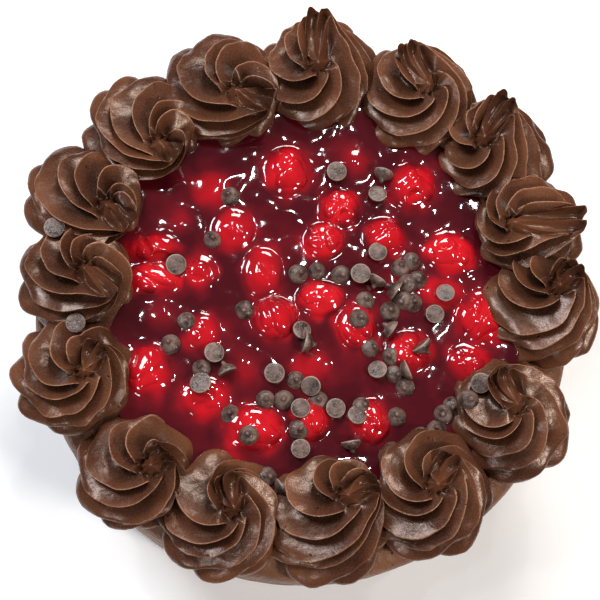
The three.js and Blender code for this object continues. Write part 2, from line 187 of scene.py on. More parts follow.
# %% Draws, ripples and smooth curves
DRAW_FACTOR = 1664525
DRAW_STEP = 1013904223
DRAW_RANGE = 2**32


def random_from(seed):
    state = seed
    while True:
        state = (state * DRAW_FACTOR + DRAW_STEP) % DRAW_RANGE
        yield state / DRAW_RANGE


def ripple(points, length, seed, waves=9):
    draw = np.random.default_rng(seed)
    total = np.zeros(points.shape[:-1])
    for _ in range(waves):
        direction = draw.normal(size=3)
        direction /= np.linalg.norm(direction)
        turns = 2 * np.pi / (length * draw.uniform(0.7, 1.5))
        total += np.sin(points @ (direction * turns) + draw.uniform(0, 2 * np.pi))
    return total / math.sqrt(waves)


def smooth_curve(keys, values, t):
    keys = np.asarray(keys, float)
    values = np.asarray(values, float)
    slopes = np.gradient(values, keys)
    cell = np.clip(np.searchsorted(keys, t, side="right") - 1, 0, len(keys) - 2)
    span = keys[cell + 1] - keys[cell]
    s = (t - keys[cell]) / span
    start = (2 * s**3 - 3 * s**2 + 1) * values[cell] + (s**3 - 2 * s**2 + s) * span * slopes[cell]
    end = (3 * s**2 - 2 * s**3) * values[cell + 1] + (s**3 - s**2) * span * slopes[cell + 1]
    return start + end


print("ripple at the origin:", ripple(np.zeros((1, 3)), 10 * mm, 1))

# %% [markdown]
# Swirl, gel, cherry and chip are all a stack of rings. One helper joins neighbour rings by
# four-sided faces that look outwards, and closes the first and the last ring. Another
# makes the object and stores one number per point, such as how red the gel is there, for
# the finish to read.

# %% A mesh from rows of points
def closed_faces(rows, around):
    faces = []
    for row in range(rows - 1):
        for i in range(around):
            a = row * around + i
            b = row * around + (i + 1) % around
            faces.append((a, b, b + around, a + around))
    faces.append(tuple(reversed(range(around))))
    faces.append(tuple((rows - 1) * around + i for i in range(around)))
    return faces


def piece_from(name, points, faces, material, **attributes):
    mesh = bpy.data.meshes.new(name)
    mesh.from_pydata(points.reshape(-1, 3).tolist(), [], faces)
    for key, values in attributes.items():
        field = mesh.attributes.new(key, "FLOAT", "POINT")
        field.data.foreach_set("value", np.ascontiguousarray(values, np.float32).ravel())
    mesh.polygons.foreach_set("use_smooth", [True] * len(mesh.polygons))
    mesh.materials.append(material)
    mesh.validate()
    piece = bpy.data.objects.new(name, mesh)
    bpy.context.scene.collection.objects.link(piece)
    return piece


print("faces of two closed rings of 12:", len(closed_faces(2, 12)))

# %% [markdown]
# ## Finishes
# Every finish is a small tree of nodes. One helper adds a node, sets its inputs and links
# what is already a socket, so each finish below reads as a short recipe.

# %% Tools for node trees
def add_node(tree, kind, inputs=None, **settings):
    node = tree.nodes.new(kind)
    for key, value in settings.items():
        setattr(node, key, value)
    for key, value in (inputs or {}).items():
        if isinstance(value, bpy.types.NodeSocket):
            tree.links.new(value, node.inputs[key])
        else:
            node.inputs[key].default_value = value
    return node


def paint(red, green, blue):
    shares = [channel / 255 for channel in (red, green, blue)]
    return (*[s / 12.92 if s < 0.04045 else ((s + 0.055) / 1.055) ** 2.4 for s in shares], 1)


def new_finish(name):
    material = bpy.data.materials.new(name)
    material.use_nodes = True
    tree = material.node_tree
    tree.nodes.clear()
    shader = tree.nodes.new("ShaderNodeBsdfPrincipled")
    output = tree.nodes.new("ShaderNodeOutputMaterial")
    tree.links.new(shader.outputs[0], output.inputs["Surface"])
    return material, tree, shader


def noise(tree, scale, detail=3, roughness=0.5):
    where = add_node(tree, "ShaderNodeTexCoord").outputs["Object"]
    settings = {"Vector": where, "Scale": scale, "Detail": detail, "Roughness": roughness}
    return add_node(tree, "ShaderNodeTexNoise", settings).outputs["Fac"]


def ramp(tree, factor, *stops):
    node = add_node(tree, "ShaderNodeValToRGB", {"Fac": factor})
    elements = node.color_ramp.elements
    while len(elements) < len(stops):
        elements.new(0.5)
    for element, (position, colour) in zip(elements, stops):
        element.position = position
        element.color = colour
    return node.outputs["Color"]


def mix(tree, factor, first, second):
    inputs = {0: factor, 6: first, 7: second}
    return add_node(tree, "ShaderNodeMix", inputs, data_type="RGBA").outputs[2]


def between(tree, value, low, high, to_low, to_high):
    inputs = {0: value, 1: low, 2: high, 3: to_low, 4: to_high}
    return add_node(tree, "ShaderNodeMapRange", inputs).outputs[0]


def reckon(tree, way, first, second):
    return add_node(tree, "ShaderNodeMath", {0: first, 1: second}, operation=way).outputs[0]


def attribute(tree, name):
    return add_node(tree, "ShaderNodeAttribute", attribute_name=name).outputs["Fac"]


def bump(tree, height, strength, distance, normal=None):
    inputs = {"Height": height, "Strength": strength, "Distance": distance}
    if normal is not None:
        inputs["Normal"] = normal
    return add_node(tree, "ShaderNodeBump", inputs).outputs["Normal"]


print("half bright paint is", round(paint(128, 128, 128)[0], 3), "in light")

# %% [markdown]
# ### Chocolate frosting
# Piped frosting is dark brown and satin. Its thin fins tear a little, a pale painted
# highlight runs along each crest, and painted shade darkens the valleys between them. The
# mesh carries one attribute for each. Air pits are dents with painted shade in them, as
# dark dots, and a fine grain breaks up the gloss, which is warm in tone, as cocoa butter
# is. What a knife spread on the sides has dried a little: it is paler and duller.

# %% Frosting
# painted shade in the valleys between the fins
PAINTED_VALLEY_SHADE = paint(28, 15, 9)
PALE_GRAIN = paint(124, 84, 60)
# painted highlight along the crest of each fin
PAINTED_CREST_HIGHLIGHT = paint(196, 144, 114)
# painted shade inside the air pits
PAINTED_PIT_SHADE = paint(24, 13, 8)
WARM_GLOSS = (1.0, 0.8, 0.7, 1)


def frosting_finish(name, dark, light, smoothest, roughest, coarse):
    material, tree, shader = new_finish(name)
    broad = noise(tree, 40, 3)
    colour = ramp(tree, broad, (0.35, dark), (0.65, light))
    # painted shade: the valley attribute darkens the valleys
    valley_shade_mask = reckon(tree, "MULTIPLY", attribute(tree, "valley"), 0.9)
    colour = mix(tree, valley_shade_mask, colour, PAINTED_VALLEY_SHADE)
    grain = noise(tree, 1500, 4, 0.6)
    colour = mix(tree, between(tree, grain, 0.45, 0.75, 0, 0.14), colour, PALE_GRAIN)
    # painted highlight: a pale line along each crest, stronger in patches
    crest_highlight_mask = between(tree, noise(tree, 900, 3), 0.3, 0.7, 0.25, 0.85)
    crest_highlight_mask = reckon(tree, "MULTIPLY", attribute(tree, "crest"), crest_highlight_mask)
    colour = mix(tree, crest_highlight_mask, colour, PAINTED_CREST_HIGHLIGHT)
    where = add_node(tree, "ShaderNodeTexCoord").outputs["Object"]
    cells = add_node(tree, "ShaderNodeTexVoronoi", {"Vector": where, "Scale": 260})
    cells = cells.outputs["Distance"]
    rare = between(tree, noise(tree, 110, 2), 0.57, 0.63, 0, 1)
    pits = reckon(tree, "MULTIPLY", between(tree, cells, 0.1, 0.16, 1, 0), rare)
    # painted shade: dark dots inside the air pits
    colour = mix(tree, reckon(tree, "MULTIPLY", pits, 0.8), colour, PAINTED_PIT_SHADE)
    tree.links.new(colour, shader.inputs["Base Color"])
    tree.links.new(between(tree, grain, 0.3, 0.75, smoothest, roughest), shader.inputs["Roughness"])
    normal = bump(tree, noise(tree, 2200, 3, 0.6), 0.28, 0.12 * mm)
    normal = bump(tree, noise(tree, 330, 3), 0.35, coarse, normal)
    normal = bump(tree, reckon(tree, "SUBTRACT", 1, pits), 0.7, 0.4 * mm, normal)
    tree.links.new(normal, shader.inputs["Normal"])
    shader.inputs["Specular IOR Level"].default_value = 0.42
    shader.inputs["Specular Tint"].default_value = WARM_GLOSS
    return material


FROSTING = frosting_finish(
    "frosting", dark=paint(70, 38, 25), light=paint(105, 63, 42),
    smoothest=0.2, roughest=0.38, coarse=0.6 * mm,
)
SPREAD_FROSTING = frosting_finish(
    "spread_frosting", dark=paint(106, 67, 46), light=paint(130, 87, 62),
    smoothest=0.4, roughest=0.6, coarse=3 * mm,
)
print("made", FROSTING.name, "and", SPREAD_FROSTING.name)

# %% [markdown]
# ### Cherry gel and cherry skin
# Gel is clear and deep, so it looks like dark wine where it is thick and bright red where
# a cherry lies close under it. Light bent in a real volume is slow and grainy to render.
# Here gel and cherries carry the same attribute, 1 over a cherry and 0 far from one, that
# leads one row of colours from wine to red. No hard line shows where skin leaves gel.

# %% Gel and skin
WINE_TO_RED = [
    (0.0, paint(65, 11, 19)), (0.2, paint(92, 15, 24)), (0.45, paint(134, 16, 26)),
    (0.75, paint(172, 17, 27)), (1.0, paint(190, 24, 33)),
]


def wet_red_finish(name, cloud_scale, cloudiness, wave_scale, wave_height):
    material, tree, shader = new_finish(name)
    cloud = between(tree, noise(tree, cloud_scale, 3), 0.3, 0.7, -cloudiness, cloudiness)
    depth = reckon(tree, "ADD", attribute(tree, "red"), cloud)
    tree.links.new(ramp(tree, depth, *WINE_TO_RED), shader.inputs["Base Color"])
    shader.inputs["Roughness"].default_value = 0.06
    shader.inputs["IOR"].default_value = 1.4
    shader.inputs["Coat Weight"].default_value = 0.5
    shader.inputs["Coat Roughness"].default_value = 0.02
    normal = bump(tree, noise(tree, wave_scale, 2), 0.5, wave_height)
    tree.links.new(normal, shader.inputs["Normal"])
    tree.links.new(normal, shader.inputs["Coat Normal"])
    return material


GEL = wet_red_finish(
    "gel", cloud_scale=60, cloudiness=0.16, wave_scale=110, wave_height=0.4 * mm,
)
SKIN = wet_red_finish(
    "cherry", cloud_scale=170, cloudiness=0.12, wave_scale=240, wave_height=0.3 * mm,
)
print("made", GEL.name, "and", SKIN.name)

# %% [markdown]
# ### Chocolate chips
# Chips are paler than the frosting, grey brown with a satin bloom, and scuffed by each
# other in the bag. The mesh says where the rim of the flat base is, for a painted highlight.

# %% Chips
CHIP_TONES = [(0.34, paint(44, 30, 25)), (0.46, paint(79, 60, 53)), (0.66, paint(113, 90, 81))]
# painted highlight on the rim of the flat base
PAINTED_RIM_HIGHLIGHT = paint(160, 138, 124)


def chip_finish():
    material, tree, shader = new_finish("chip")
    cloud = noise(tree, 260, 4, 0.6)
    # the rim of the base gets a painted highlight
    colour = mix(tree, attribute(tree, "rim"), ramp(tree, cloud, *CHIP_TONES), PAINTED_RIM_HIGHLIGHT)
    tree.links.new(colour, shader.inputs["Base Color"])
    tree.links.new(between(tree, cloud, 0.3, 0.7, 0.3, 0.46), shader.inputs["Roughness"])
    normal = bump(tree, noise(tree, 900, 3), 0.35, 0.25 * mm)
    normal = bump(tree, noise(tree, 320, 3, 0.7), 0.7, 1.0 * mm, normal)
    tree.links.new(normal, shader.inputs["Normal"])
    return material


CHIP = chip_finish()
print("made", CHIP.name)

# %% [markdown]
# ## The frosted body
# The body is a drum with a rounded top edge, smoothed by a long knife that leaves faint
# level bands. Its shape follows a rule, so Geometry Nodes make it: a cylinder whose rings
# are drawn in near the top and the foot, and pushed in and out by a stretched noise.
# A few helpers come first. They give a tree its inputs and its output, stretch a place or
# read a noise there, and end the tree with real faces and a finish.

# %% Helpers for a tree that makes a shape
def socket_in(tree, name, kind="Float"):
    tree.interface.new_socket(name=name, in_out="INPUT", socket_type="NodeSocket" + kind)


def geometry_out(tree):
    tree.interface.new_socket(name="Geometry", in_out="OUTPUT", socket_type="NodeSocketGeometry")


def stretched(tree, place, scale):
    inputs = {0: place, 1: scale}
    return add_node(tree, "ShaderNodeVectorMath", inputs, operation="MULTIPLY").outputs[0]


def wander(tree, place, scale, detail):
    inputs = {"Vector": place, "Scale": scale, "Detail": detail}
    return add_node(tree, "ShaderNodeTexNoise", inputs).outputs["Fac"]


def dress(tree, shape, finish):
    real = add_node(tree, "GeometryNodeRealizeInstances", {0: shape}).outputs[0]
    inputs = {"Geometry": real, "Material": finish}
    dressed = add_node(tree, "GeometryNodeSetMaterial", inputs).outputs[0]
    add_node(tree, "NodeGroupOutput", {0: dressed})


print("helpers for trees of shapes are ready")

# %% [markdown]
# A rounded edge follows a quarter circle. Past the place where the rounding starts, the
# ring is drawn in by the radius less the height of the circle there. The knife's bands are
# a noise that is stretched far along the side and hardly at all in height.

# %% A tree that makes the body
BODY_AROUND = 220
BODY_ROWS = 60
BODY_FILL = 24
KNIFE_BANDS = (16, 16, 210)
BROAD_WAVES = 24


def rounded_share(tree, distance, radius):
    inputs = {0: distance, 1: radius}
    share = add_node(tree, "ShaderNodeMath", inputs, operation="DIVIDE", use_clamp=True)
    squared = reckon(tree, "MULTIPLY", share.outputs[0], share.outputs[0])
    inner = reckon(tree, "SQRT", reckon(tree, "SUBTRACT", 1, squared), 0)
    return reckon(tree, "MULTIPLY", reckon(tree, "SUBTRACT", 1, inner), radius)


def body_tree():
    tree = bpy.data.node_groups.new("body_shape", "GeometryNodeTree")
    for name in ("Radius", "Height", "Edge rounding", "Foot rounding", "Unevenness"):
        socket_in(tree, name)
    socket_in(tree, "Finish", "Material")
    geometry_out(tree)
    given = add_node(tree, "NodeGroupInput").outputs
    drum = add_node(tree, "GeometryNodeMeshCylinder", {
        "Vertices": BODY_AROUND, "Side Segments": BODY_ROWS, "Fill Segments": BODY_FILL,
        "Radius": given["Radius"], "Depth": given["Height"],
    })
    half = reckon(tree, "MULTIPLY", given["Height"], 0.5)
    raised = add_node(tree, "GeometryNodeTransform", {
        "Geometry": drum.outputs["Mesh"],
        "Translation": add_node(tree, "ShaderNodeCombineXYZ", {"Z": half}).outputs[0],
    })
    place = add_node(tree, "GeometryNodeInputPosition").outputs[0]
    z = add_node(tree, "ShaderNodeSeparateXYZ", {0: place}).outputs["Z"]
    edge, foot = given["Edge rounding"], given["Foot rounding"]
    over_edge = reckon(tree, "SUBTRACT", z, reckon(tree, "SUBTRACT", given["Height"], edge))
    at_edge = rounded_share(tree, over_edge, edge)
    at_foot = rounded_share(tree, reckon(tree, "SUBTRACT", foot, z), foot)
    knife = wander(tree, stretched(tree, place, KNIFE_BANDS), 1, 3)
    waves = wander(tree, place, BROAD_WAVES, 2)
    both = reckon(tree, "SUBTRACT", reckon(tree, "ADD", knife, waves), 1)
    uneven = reckon(tree, "MULTIPLY", both, given["Unevenness"])
    change = reckon(tree, "SUBTRACT", reckon(tree, "SUBTRACT", uneven, at_edge), at_foot)
    share = reckon(tree, "ADD", reckon(tree, "DIVIDE", change, given["Radius"]), 1)
    scale = add_node(tree, "ShaderNodeCombineXYZ", {"X": share, "Y": share, "Z": 1}).outputs[0]
    shaped = add_node(tree, "GeometryNodeSetPosition", {
        "Geometry": raised.outputs[0], "Position": stretched(tree, place, scale),
    })
    smooth = add_node(tree, "GeometryNodeSetShadeSmooth", {0: shaped.outputs[0]})
    dress(tree, smooth.outputs[0], given["Finish"])
    return tree


shape_of_body = body_tree()
print("nodes in the body's tree:", len(shape_of_body.nodes))

# %% [markdown]
# A tree becomes a plain mesh in three steps: it is put on a carrier object as a modifier,
# its inputs are set by their identifiers, and the evaluated result is copied to a mesh.

# %% From a tree to a plain mesh
def piece_from_tree(name, tree, values, carrier_mesh=None):
    mesh = carrier_mesh or bpy.data.meshes.new(name + "_carrier")
    carrier = bpy.data.objects.new(name + "_carrier", mesh)
    bpy.context.scene.collection.objects.link(carrier)
    modifier = carrier.modifiers.new("shape", "NODES")
    modifier.node_group = tree
    for item in tree.interface.items_tree:
        if item.in_out == "INPUT" and item.name in values:
            modifier[item.identifier] = values[item.name]
    graph = bpy.context.evaluated_depsgraph_get()
    mesh = bpy.data.meshes.new_from_object(carrier.evaluated_get(graph))
    mesh.name = name
    carrier.modifiers.remove(modifier)
    bpy.data.objects.remove(carrier)
    piece = bpy.data.objects.new(name, mesh)
    bpy.context.scene.collection.objects.link(piece)
    return piece


body = piece_from_tree("body", shape_of_body, {
    "Radius": BODY_DIAMETER / 2, "Height": BODY_HEIGHT, "Edge rounding": 6 * mm,
    "Foot rounding": 1.5 * mm, "Unevenness": 2.4 * mm, "Finish": SPREAD_FROSTING,
})
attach(body, "root")
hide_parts("frosted_cake")
print("body faces:", len(body.data.polygons))

# %% [markdown]
# ## The piped swirls
# A star tip turned while it squeezes leaves sharp fins. At the foot they are round lobes,
# higher up they overlap like petals, and they wind to the eye. A surface with two
# directions tells it best: up along the fins, and round from fin to fin. Named rows give,
# from foot to eye, the height, the width, how deep the valleys cut and sag, the turn, and
# how far the axis leans from the middle towards the eye.

# %% The profile of a swirl
SWIRL_KEYS = [0, 0.2, 0.42, 0.62, 0.78, 0.89, 1.0]
SWIRL_RISE = [0, 0.24, 0.56, 0.84, 1.0, 0.8, 0.93]
SWIRL_SPREAD = [0.84, 1.05, 0.95, 0.65, 0.31, 0.19, 0.01]
SWIRL_VALLEY = [0.1, 0.17, 0.32, 0.5, 0.5, 0.2, 0]
SWIRL_SAG = [0, 0, 1.4 * mm, 3.2 * mm, 3.0 * mm, 1.0 * mm, 0]
SWIRL_TURN = [0, 0.1, 0.31, 0.6, 0.86, 1.0, 1.05]
SWIRL_LEAN = [0, 0.06, 0.3, 0.66, 0.95, 1.0, 1.0]
SWIRL_ROWS = 80
FIN_POINTS = 22
VALLEY_BOTTOM = 0.32
LOBE_VALLEY = 0.1
LOBE_PINCH = 1.6
LOBES_END = 0.22
LOBES_FADE = 0.25


def fin_valley(u):
    steep = np.sin(np.pi / 2 * np.clip(u / VALLEY_BOTTOM, 0, 1)) ** 0.7
    broad = np.cos(np.pi / 2 * np.clip((u - VALLEY_BOTTOM) / (1 - VALLEY_BOTTOM), 0, 1)) ** 0.85
    return np.where(u < VALLEY_BOTTOM, steep, broad)


def valley_depth(t, u):
    sharpness = np.clip((t - LOBES_END) / LOBES_FADE, 0, 1)
    lobe = (0.5 + 0.5 * np.cos(2 * np.pi * (u - LOBE_VALLEY))) ** LOBE_PINCH
    return sharpness * fin_valley(u) + (1 - sharpness) * lobe


print("a valley from fin to fin:", fin_valley(np.linspace(0, 1, 6)).round(2))

# %% [markdown]
# The tip is pulled away at the end, which drags the fins near the eye into a torn tail.
# Below, a weight that is strongest near the rim of the eye on the tail's side draws points
# to the tail's end. Where two swirls meet, the later one lies on the earlier one. The
# earlier one gives way: points that would be inside the later one are pushed out to its
# wall.

# %% Where a swirl stands
FULLEST_AT = 0.4
EYE_AT = 0.9
WALL_SHARE = 0.9
GIVE_WAY = 0.9


def place_swirl(swirl):
    middle, eye, tail, radius = swirl
    foot = np.array(place_seen(middle, TOP + FULLEST_AT * SWIRL_HEIGHT))
    eye_place = np.array(place_seen(eye, TOP + EYE_AT * SWIRL_HEIGHT))
    tail_seen = np.array(place_seen(tail, TOP + SWIRL_HEIGHT + TAIL_LIFT))
    pull = (tail_seen - eye_place)[:2]
    pull *= min(1, TAIL_REACH / np.linalg.norm(pull))
    return {"foot": foot[:2], "eye": eye_place[:2], "pull": pull, "radius": radius * mm}


def swirl_axis(swirl, lean):
    return swirl["foot"] + np.asarray(lean)[..., None] * (swirl["eye"] - swirl["foot"])


def push_out_of(points, other):
    share = np.clip((points[..., 2] - TOP) / SWIRL_HEIGHT, 0, 1)
    spread = np.interp(share, SWIRL_RISE[:5], SWIRL_SPREAD[:5])
    lean = np.interp(share, SWIRL_RISE[:5], SWIRL_LEAN[:5])
    from_axis = points[..., :2] - swirl_axis(other, lean)
    distance = np.linalg.norm(from_axis, axis=-1) + 1e-6
    limit = other["radius"] * spread * WALL_SHARE
    inside = np.clip(limit - distance, 0, None)
    points[..., :2] += from_axis / distance[..., None] * (GIVE_WAY * inside)[..., None]


def swirls_over(index):
    over = []
    if index == 0:
        over.append(LAST_PIPED)
    if 0 < index <= FIRST_PIPED:
        over.append(index - 1)
    if FIRST_PIPED <= index < LAST_PIPED:
        over.append(index + 1)
    return over


print("radius of the first swirl:", place_swirl(SWIRLS[0])["radius"], "m")

# %% [markdown]
# The tail fans out a little from its root, is wider on the side that the fins come from,
# and fades faster towards the eye than towards the foot. Its widths are in radians round
# the eye. It is ragged where it tore, and all of the swirl is uneven in broad and in fine
# waves. The crest of each fin, where the frosting gets its painted highlight, is a hair
# wide, and the highlight only shows between the foot and the eye.

# %% Tail, crest and roughness
RIM_ROW = 0.76
TAIL_WIDTH = (1.35, 0.75)
TAIL_FAN = 6.2 * mm
TAIL_HOLD = 0.92
TAIL_RISE = 0.7 * mm
CREST_HALF_WIDTH = 0.13 * mm
BROAD_WAVE, BROAD_HEIGHT = 11 * mm, 0.5 * mm
FINE_WAVE, FINE_HEIGHT = 3 * mm, 0.07 * mm
RAGGED_WAVE, RAGGED_HEIGHT = 4 * mm, 0.22 * mm


def tail_weight(t, off_tail, depth):
    width = np.where(off_tail < 0, *TAIL_WIDTH)
    fall = np.where(t < RIM_ROW, 0.2 + 0.12 * np.clip(0.5 - off_tail, 0, 1), 0.15)
    weight = np.exp(-(np.abs((t - RIM_ROW) / fall) ** 3)) / (1 + (off_tail / width) ** 6)
    return weight * (1 - 0.015 * depth - 0.25 * depth * np.clip((RIM_ROW - t) / 0.2, 0, 1))


def pull_tail(points, swirl, off_tail, weight, depth):
    across = np.array((-swirl["pull"][1], swirl["pull"][0])) / np.linalg.norm(swirl["pull"])
    tip = swirl["eye"] + swirl["pull"] + (off_tail * TAIL_FAN)[..., None] * across
    points[..., :2] += TAIL_HOLD * weight[..., None] * (tip - points[..., :2])
    points[..., 2] += weight * (1 - 0.8 * depth) * TAIL_RISE


def crest_of_fins(t, u, reach):
    gap = np.minimum(u, 1 - u) * 2 * np.pi * (reach + 2 * mm) / FIN_COUNT
    shows = np.clip((t - 0.24) / 0.15, 0, 1) * np.clip((0.88 - t) / 0.06, 0, 1)
    return np.exp(-((gap / CREST_HALF_WIDTH) ** 2)) * shows


def roughen(points, from_axis, reach, rise, weight, seed):
    broad = ripple(points, BROAD_WAVE, seed) * BROAD_HEIGHT
    fine = ripple(points, FINE_WAVE, seed + 50) * FINE_HEIGHT
    uneven = (broad + fine) * (1 - 0.75 * weight)
    ragged = ripple(points, RAGGED_WAVE, seed + 90) * RAGGED_HEIGHT * weight
    points[..., :2] += ((uneven + ragged) / (reach + 4 * mm))[..., None] * from_axis
    points[..., 2] += (0.6 * uneven + ragged) * np.clip(rise * 4, 0, 1)


print("the tail is at most", round(TAIL_REACH / mm), "mm long")

# %% [markdown]
# Now the swirl itself. Each fin draws its own turn, reach, valley and lift, and the values
# between two fins are blended, so that no two petals are alike and none has a step.

# %% One swirl
FIN_BUNCHING = 0.12
UNEVEN_TURN = 0.19
UNEVEN_REACH = 0.08
UNEVEN_VALLEY = 0.2
UNEVEN_LIFT = 1.3 * mm


def swirl_points(swirl, seed):
    draw = np.random.default_rng(seed)
    t = np.linspace(0, 1, SWIRL_ROWS)[:, None]
    rise, spread, valley, sag, turn, lean = (
        smooth_curve(SWIRL_KEYS, row, t)
        for row in (SWIRL_RISE, SWIRL_SPREAD, SWIRL_VALLEY, SWIRL_SAG, SWIRL_TURN, SWIRL_LEAN)
    )
    step = np.arange(FIN_COUNT * FIN_POINTS) / FIN_POINTS
    along = step - FIN_BUNCHING * np.sin(2 * np.pi * step)
    u = along % 1
    fin = np.floor(along + 1e-9).astype(int)

    def from_fin_to_fin(amount):
        values = draw.uniform(-amount, amount, FIN_COUNT)
        return values[fin % FIN_COUNT] * (1 - u) + values[(fin + 1) % FIN_COUNT] * u

    tail_angle = math.atan2(swirl["pull"][1], swirl["pull"][0])
    twist = SWIRL_TWIST * draw.uniform(0.95, 1.15)
    angle = tail_angle - twist * (1 - turn) + 2 * np.pi * along / FIN_COUNT
    angle = angle + from_fin_to_fin(UNEVEN_TURN)
    depth = valley_depth(t, u)
    reach = swirl["radius"] * spread * (1 + from_fin_to_fin(UNEVEN_REACH))
    reach = reach * (1 - valley * (1 + from_fin_to_fin(UNEVEN_VALLEY)) * depth)
    to_tail = np.clip(np.cos(angle - tail_angle), 0, 1) ** 3
    eye_fade = np.clip((1 - t) / 0.14, 0, 1)
    lift = TAIL_LIFT * to_tail + from_fin_to_fin(UNEVEN_LIFT)
    lift = lift * rise**2 * (1 - 0.6 * depth) * eye_fade
    axis = swirl_axis(swirl, lean)
    points = np.empty((*reach.shape, 3))
    points[..., 0] = axis[..., 0] + reach * np.cos(angle)
    points[..., 1] = axis[..., 1] + reach * np.sin(angle)
    points[..., 2] = TOP + rise * SWIRL_HEIGHT + lift - sag * depth
    off_tail = np.angle(np.exp(1j * (angle - tail_angle)))
    weight = tail_weight(t, off_tail, depth)
    pull_tail(points, swirl, off_tail, weight, depth)
    roughen(points, points[..., :2] - axis, reach, rise, weight, seed)
    # the crest and valley values lead the frosting's painted crest highlight and painted valley
    # shade
    return points, crest_of_fins(t, u, reach), depth * np.clip(valley / 0.5, 0, 1)


print("points of one swirl:", swirl_points(place_swirl(SWIRLS[0]), 0)[0].size // 3)

# %% [markdown]
# Each swirl takes its own seed, so that no two are alike. Its foot is let half a millimetre
# into the body, so that no gap shows from the side, and both ends are closed.

# %% All the swirls
FOOT_LET_IN = 0.5 * mm
placed_swirls = [place_swirl(swirl) for swirl in SWIRLS]
faces = closed_faces(SWIRL_ROWS, FIN_COUNT * FIN_POINTS)
for index, swirl in enumerate(placed_swirls):
    points, crest, valley = swirl_points(swirl, 11 * index + 3)
    for other in swirls_over(index):
        push_out_of(points, placed_swirls[other])
    points[0, :, 2] = BODY_HEIGHT - FOOT_LET_IN
    node_name = f"swirl_{index + 1:02d}"
    piece = piece_from("piped_" + node_name, points, faces, FROSTING, crest=crest, valley=valley)
    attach(piece, "root")
    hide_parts(node_name)
print("swirl faces:", len(piece.data.polygons), "each")

# %% [markdown]
# ## Cherries and gel
# The gel climbs each cherry as a thin film and leaves only the cap bare, so no hard line
# shows where the two meet. Both surfaces are worked out from the same cherries: one
# function gives the height of a cherry's skin, another blends the gel into it.

# %% The cherries' places
HIGH_GLOW = 0.8
GLOW_LOST = 0.2
SUNK_SQUASH = 0.42
SEEN_OVER_GEL = 2 * mm
SKIRT_FALL = 30 * mm
CALM_WAVE = 0.4 * mm


def place_cherry(cherry, index):
    seen, width, depth = cherry
    draw = random_from(index + 1)
    sunk = min(1, max(0, (HIGH_GLOW - CHERRY_GLOW[index]) / GLOW_LOST))
    half_height = CHERRY_HALF_HEIGHT * (0.92 + 0.16 * next(draw)) * (1 - SUNK_SQUASH * sunk)
    place = place_seen(seen, GEL_TOP + SEEN_OVER_GEL)
    place.z = TOP + CHERRY_LIFT + half_height
    return {
        "place": np.array(place), "half": np.array((width * mm / 2, depth * mm / 2, half_height)),
        "phase": 2 * math.pi * next(draw),
    }


placed_cherries = [place_cherry(cherry, index) for index, cherry in enumerate(CHERRIES)]
sunk_places = [np.array(place_seen(seen, GEL_TOP)) for seen in SUNK_CHERRIES]


def cherry_share(cherry, x, y):
    across = (x - cherry["place"][0]) / cherry["half"][0]
    along = (y - cherry["place"][1]) / cherry["half"][1]
    return np.sqrt(across**2 + along**2)


def skin_height(cherry, x, y):
    share = cherry_share(cherry, x, y)
    dome = np.sqrt(np.clip(1 - share**2, 0, None))
    beyond = np.clip(share - 1, 0, None) * SKIRT_FALL
    return cherry["place"][2] + cherry["half"][2] * dome - beyond


def calm_gel(x, y):
    height = GEL_TOP + CALM_WAVE * np.sin(x / (17 * mm) + 0.6) * np.cos(y / (14 * mm))
    for place in sunk_places:
        distance = np.hypot(x - place[0], y - place[1])
        height = height + SUNK_LIFT * np.exp(-((distance / SUNK_SPREAD) ** 2))
    return height


tops = [cherry["place"][2] + cherry["half"][2] for cherry in placed_cherries]
print("highest cherry:", max(tops), "m")

# %% [markdown]
# The gel is a round grid. At each of its points the calm level and the skins of the
# cherries are blended, which gives the soft climb of a thick liquid, and the redness
# fades out past each cherry's edge with a slight wander, as gel of uneven depth shows it.

# %% The gel's surface
THIN_FILM = 0.3 * mm
BARE_CAP = 1.6 * mm
CLIMB = 5.5 * mm
GEL_STEP = 0.75 * mm
GLOW_EDGE = 1.0
GLOW_SOFTNESS = 0.13
DULL_SOFTNESS = 0.25
GLOW_WANDER = 1.1 * mm
DEEP_GLOW = 0.4
DEEP_GLOW_SPREAD = 6.5 * mm
SWELL = 0.3 * mm
FINE_RIPPLE = 0.045 * mm


def smooth_highest(first, second, blend):
    gap = np.clip(blend - np.abs(first - second), 0, None)
    return np.maximum(first, second) + gap**2 / (4 * blend)


def red_over(x, y):
    red = np.zeros_like(x)
    flat = np.stack([x, y, np.zeros_like(x)], axis=-1)
    wander_x = x + GLOW_WANDER * ripple(flat, 9 * mm, 15)
    wander_y = y + GLOW_WANDER * ripple(flat, 9 * mm, 16)
    for cherry, glow in zip(placed_cherries, CHERRY_GLOW):
        share = cherry_share(cherry, wander_x, wander_y)
        softness = GLOW_SOFTNESS + DULL_SOFTNESS * (1 - glow)
        red = np.maximum(red, glow / (1 + np.exp((share - GLOW_EDGE) / softness)))
    for place in sunk_places:
        distance = np.hypot(x - place[0], y - place[1])
        red = np.maximum(red, DEEP_GLOW * np.exp(-((distance / DEEP_GLOW_SPREAD) ** 2)))
    return red


def gel_surface(x, y):
    flat = np.stack([x, y, np.zeros_like(x)], axis=-1)
    height = calm_gel(x, y) + SWELL * ripple(flat, 16 * mm, 5)
    height += FINE_RIPPLE * ripple(flat, 5 * mm, 6)
    for cherry in placed_cherries:
        cap = np.clip(1 - cherry_share(cherry, x, y) ** 2, 0, 1)
        covered = skin_height(cherry, x, y) - THIN_FILM - BARE_CAP * cap
        height = smooth_highest(height, covered, CLIMB)
    return height, red_over(x, y)


